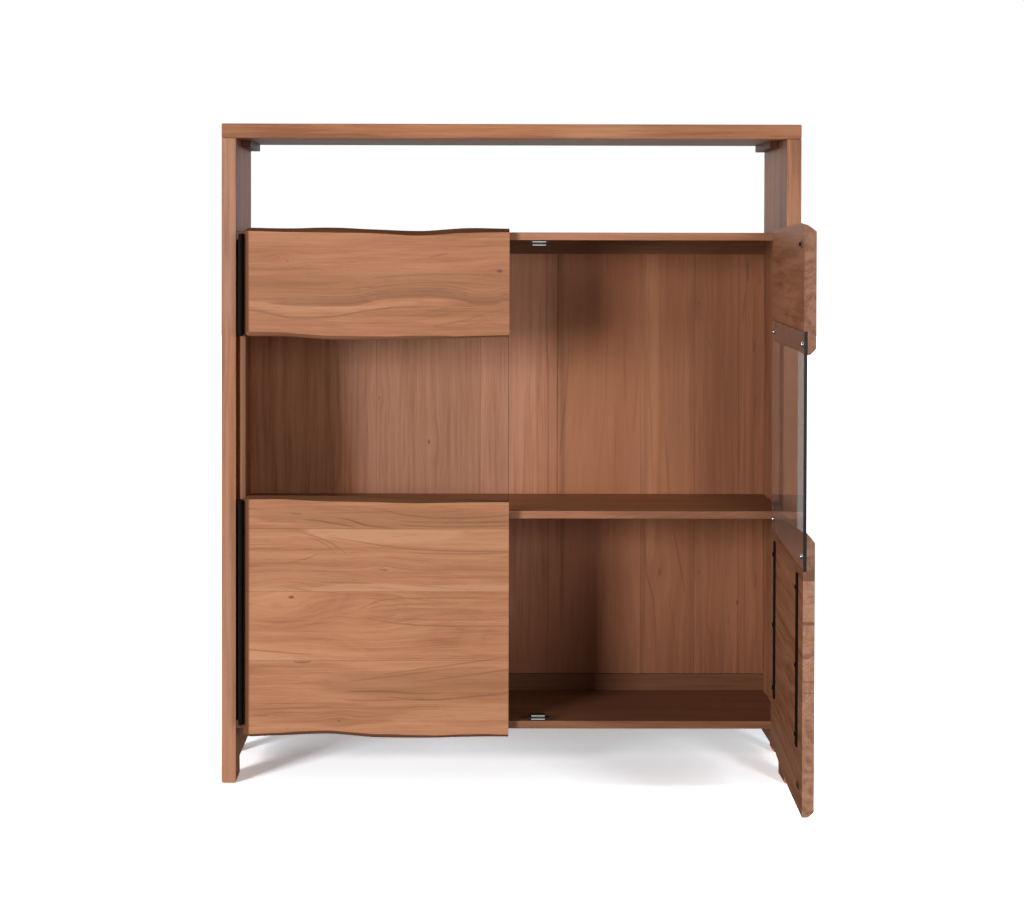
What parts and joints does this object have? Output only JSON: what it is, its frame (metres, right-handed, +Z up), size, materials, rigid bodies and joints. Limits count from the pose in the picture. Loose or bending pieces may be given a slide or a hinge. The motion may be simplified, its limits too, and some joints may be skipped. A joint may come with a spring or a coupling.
{
  "type": "live-edge display cabinet",
  "caption": "Tall solid-wood cabinet with an open bay under the top, shelves inside, and hinged doors of live-edge boards and clear glass held shut by magnetic catches.",
  "frame": {"origin": "on the floor, under the middle of the whole object as it stands at rest, with the left door shut and the right door open", "axes": "+X to the right seen from the front, +Y to the back, +Z up"},
  "size_m": [1.2, 0.8868, 1.37],
  "materials": {
    "wood": "oiled, open grain",
    "door_wood": "oiled, live edge",
    "back_wood": "oiled",
    "glass": "clear",
    "black_steel": "black satin",
    "bright_steel": "polished",
    "dark_plastic": "moulded, brown"
  },
  "bodies": {
    "cabinet": {"side_left": "wood", "side_right": "wood", "top_board": "wood", "cleat_left": "wood", "cleat_right": "wood", "cabinet_top": "wood", "middle_shelf": "wood", "floor_board": "wood", "back_panel": "back_wood", "back_rail_top": "back_wood", "back_rail_bottom": "back_wood", "hinge_post_left": "wood", "hinge_post_right": "wood", "catch_upper_left": "dark_plastic", "catch_upper_left_poles": "bright_steel", "catch_lower_left": "dark_plastic", "catch_lower_left_poles": "bright_steel", "catch_upper_right": "dark_plastic", "catch_upper_right_poles": "bright_steel", "catch_lower_right": "dark_plastic", "catch_lower_right_poles": "bright_steel", "hinge_left_upper_fixed_leaf": "black_steel", "hinge_left_upper_pin": "black_steel", "hinge_left_lower_fixed_leaf": "black_steel", "hinge_left_lower_pin": "black_steel", "hinge_right_upper_fixed_leaf": "black_steel", "hinge_right_upper_pin": "black_steel", "hinge_right_lower_fixed_leaf": "black_steel", "hinge_right_lower_pin": "black_steel"},
    "door_left": {"door_left_upper_panel": "door_wood", "door_left_lower_panel": "door_wood", "door_left_glass": "glass", "door_left_glass_screw_top_hinge": "bright_steel", "door_left_glass_screw_top_free": "bright_steel", "door_left_glass_screw_bottom_hinge": "bright_steel", "door_left_glass_screw_bottom_free": "bright_steel", "door_left_bar_hinge": "black_steel", "door_left_bar_free": "black_steel", "door_left_strike_upper": "black_steel", "door_left_strike_lower": "black_steel", "hinge_left_upper_moving_leaf": "black_steel", "hinge_left_lower_moving_leaf": "black_steel"},
    "door_right": {"door_right_upper_panel": "door_wood", "door_right_lower_panel": "door_wood", "door_right_glass": "glass", "door_right_glass_screw_top_hinge": "bright_steel", "door_right_glass_screw_top_free": "bright_steel", "door_right_glass_screw_bottom_hinge": "bright_steel", "door_right_glass_screw_bottom_free": "bright_steel", "door_right_bar_hinge": "black_steel", "door_right_bar_free": "black_steel", "door_right_strike_upper": "black_steel", "door_right_strike_lower": "black_steel", "hinge_right_upper_moving_leaf": "black_steel", "hinge_right_lower_moving_leaf": "black_steel"}
  },
  "joints": [
    {"name": "left_door_hinge", "type": "hinge", "parent": "cabinet", "child": "door_left", "pos_m": [-0.5585, 0.10987, 0.6], "axis": [0, 0, -1], "range_deg": [0, 170]},
    {"name": "right_door_hinge", "type": "hinge", "parent": "cabinet", "child": "door_right", "pos_m": [0.5585, 0.10987, 0.6], "axis": [0, 0, 1], "range_deg": [-87, 83]}
  ]
}
